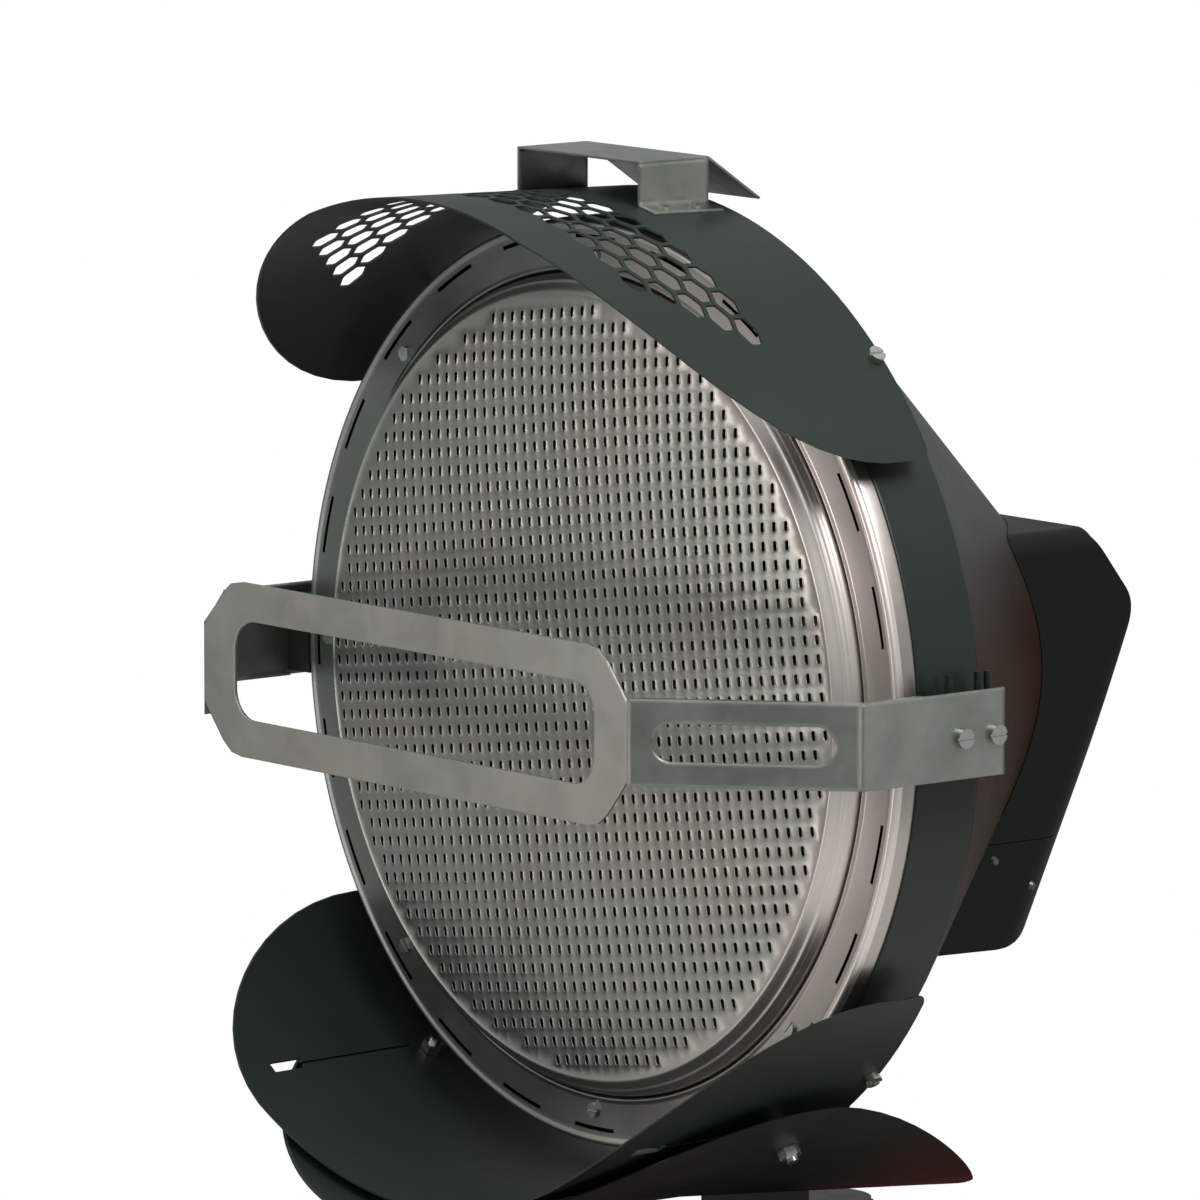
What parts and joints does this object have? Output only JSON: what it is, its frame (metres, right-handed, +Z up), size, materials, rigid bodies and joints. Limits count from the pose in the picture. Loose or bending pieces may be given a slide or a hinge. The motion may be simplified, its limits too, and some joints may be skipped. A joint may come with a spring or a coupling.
{
  "type": "radiant heater",
  "caption": "Free-standing oil-fired radiant heater: round perforated steel emitter in a tilting dark shroud with rear cone, hoods and front guard, on a wheeled fuel tank.",
  "frame": {"origin": "on the floor under the middle of the overall box", "axes": "+Z up, the emitter faces -Y, +X to the right seen from behind the emitter's back, that is to the right of someone who faces the emitter"},
  "size_m": [0.6568, 0.6715, 1.105],
  "materials": {
    "emitter_steel": "satin",
    "stainless": "brushed",
    "zinc": "satin",
    "dark_paint": "satin",
    "chamber_steel": "satin",
    "brass": "satin",
    "ceramic": "gloss",
    "motor_paint": "satin",
    "aluminium": "satin",
    "black_plastic": "matte",
    "red_paint": "gloss",
    "clear": "gloss",
    "rim_paint": "satin",
    "tyre_rubber": "matte",
    "caster_rubber": "matte",
    "switch_red": "gloss"
  },
  "bodies": {
    "base": {"pivot_column": "dark_paint", "pivot_pin": "zinc", "tank_strap": "dark_paint", "fuel_tank": "red_paint", "tank_fittings": "brass", "level_sight": "clear", "chassis": "dark_paint", "wheel_axle": "zinc", "control_box": "dark_paint", "panel_fittings": "black_plastic"},
    "head": {"radiant_disc": "emitter_steel", "emitter_ring": "stainless", "ring_screws": "zinc", "mounting_frame": "dark_paint", "shroud_band": "dark_paint", "rear_cone": "dark_paint", "flame_chamber": "chamber_steel", "flame_spreader": "chamber_steel", "burner_plate": "zinc", "blast_tube": "zinc", "fuel_nozzle": "brass", "ignition_electrodes": "ceramic", "burner_housing": "dark_paint", "bottom_cover": "dark_paint", "cover_screws": "zinc", "fan_scroll": "zinc", "fan_motor": "motor_paint", "fuel_pump": "aluminium", "ignition_transformer": "black_plastic", "flame_sensor": "brass", "top_hood": "dark_paint", "top_hood_bolts": "zinc", "bridge_plate": "stainless", "bridge_feet": "stainless", "bridge_screws": "zinc", "lower_hood": "dark_paint", "lower_hood_bolts": "zinc", "lower_shield": "dark_paint", "shield_bolts": "zinc", "guard_loop": "stainless", "guard_strap_left": "stainless", "guard_strap_right": "stainless", "guard_mounts": "dark_paint", "guard_bolts": "zinc", "tilt_saddle": "dark_paint", "pivot_bushes": "brass"},
    "fan": {"fan_impeller": "zinc"},
    "knob": {"tilt_knob": "black_plastic"},
    "cap": {"filler_cap": "black_plastic"},
    "switch": {"power_switch": "switch_red"},
    "thermostat": {"thermostat_knob": "black_plastic"},
    "left_wheel": {"wheel_left": "rim_paint", "tyre_left": "tyre_rubber"},
    "right_wheel": {"wheel_right": "rim_paint", "tyre_right": "tyre_rubber"},
    "left_fork": {"caster_left": "zinc"},
    "right_fork": {"caster_right": "zinc"},
    "left_caster_wheel": {"caster_wheel_left": "caster_rubber"},
    "right_caster_wheel": {"caster_wheel_right": "caster_rubber"},
    "handle": {"pull_handle": "dark_paint"}
  },
  "joints": [
    {"name": "head_tilt", "type": "hinge", "parent": "base", "child": "head", "pos_m": [0, -0.02125, 0.486], "axis": [-1, 0, 0], "range_deg": [-8, 20]},
    {"name": "fan_spin", "type": "hinge", "parent": "head", "child": "fan", "pos_m": [0, 0.10675, 0.762], "axis": [0, 1, 0], "continuous": true},
    {"name": "tilt_knob_turn", "type": "hinge", "parent": "base", "child": "knob", "pos_m": [0.048, -0.02125, 0.486], "axis": [1, 0, 0], "continuous": true},
    {"name": "filler_cap_turn", "type": "hinge", "parent": "base", "child": "cap", "pos_m": [-0.13, 0.14675, 0.355], "axis": [0, 0, 1], "range_deg": [0, 90]},
    {"name": "switch_rock", "type": "hinge", "parent": "base", "child": "switch", "pos_m": [0.063, 0.31375, 0.28], "axis": [1, 0, 0], "range_deg": [-8, 8]},
    {"name": "thermostat_turn", "type": "hinge", "parent": "base", "child": "thermostat", "pos_m": [-0.016, 0.32175, 0.28], "axis": [0, 1, 0], "range_deg": [0, 270]},
    {"name": "left_wheel_roll", "type": "hinge", "parent": "base", "child": "left_wheel", "pos_m": [-0.258, 0.14675, 0.11], "axis": [1, 0, 0], "continuous": true},
    {"name": "right_wheel_roll", "type": "hinge", "parent": "base", "child": "right_wheel", "pos_m": [0.258, 0.14675, 0.11], "axis": [1, 0, 0], "continuous": true},
    {"name": "left_caster_swivel", "type": "hinge", "parent": "base", "child": "left_fork", "pos_m": [-0.165, -0.24325, 0.115], "axis": [0, 0, 1], "continuous": true},
    {"name": "right_caster_swivel", "type": "hinge", "parent": "base", "child": "right_fork", "pos_m": [0.165, -0.24325, 0.115], "axis": [0, 0, 1], "continuous": true},
    {"name": "left_caster_roll", "type": "hinge", "parent": "left_fork", "child": "left_caster_wheel", "pos_m": [-0.165, -0.21925, 0.04], "axis": [1, 0, 0], "continuous": true},
    {"name": "right_caster_roll", "type": "hinge", "parent": "right_fork", "child": "right_caster_wheel", "pos_m": [0.165, -0.21925, 0.04], "axis": [1, 0, 0], "continuous": true},
    {"name": "handle_fold", "type": "hinge", "parent": "base", "child": "handle", "pos_m": [0, -0.32325, 0.1345], "axis": [1, 0, 0], "range_deg": [0, 80]}
  ]
}
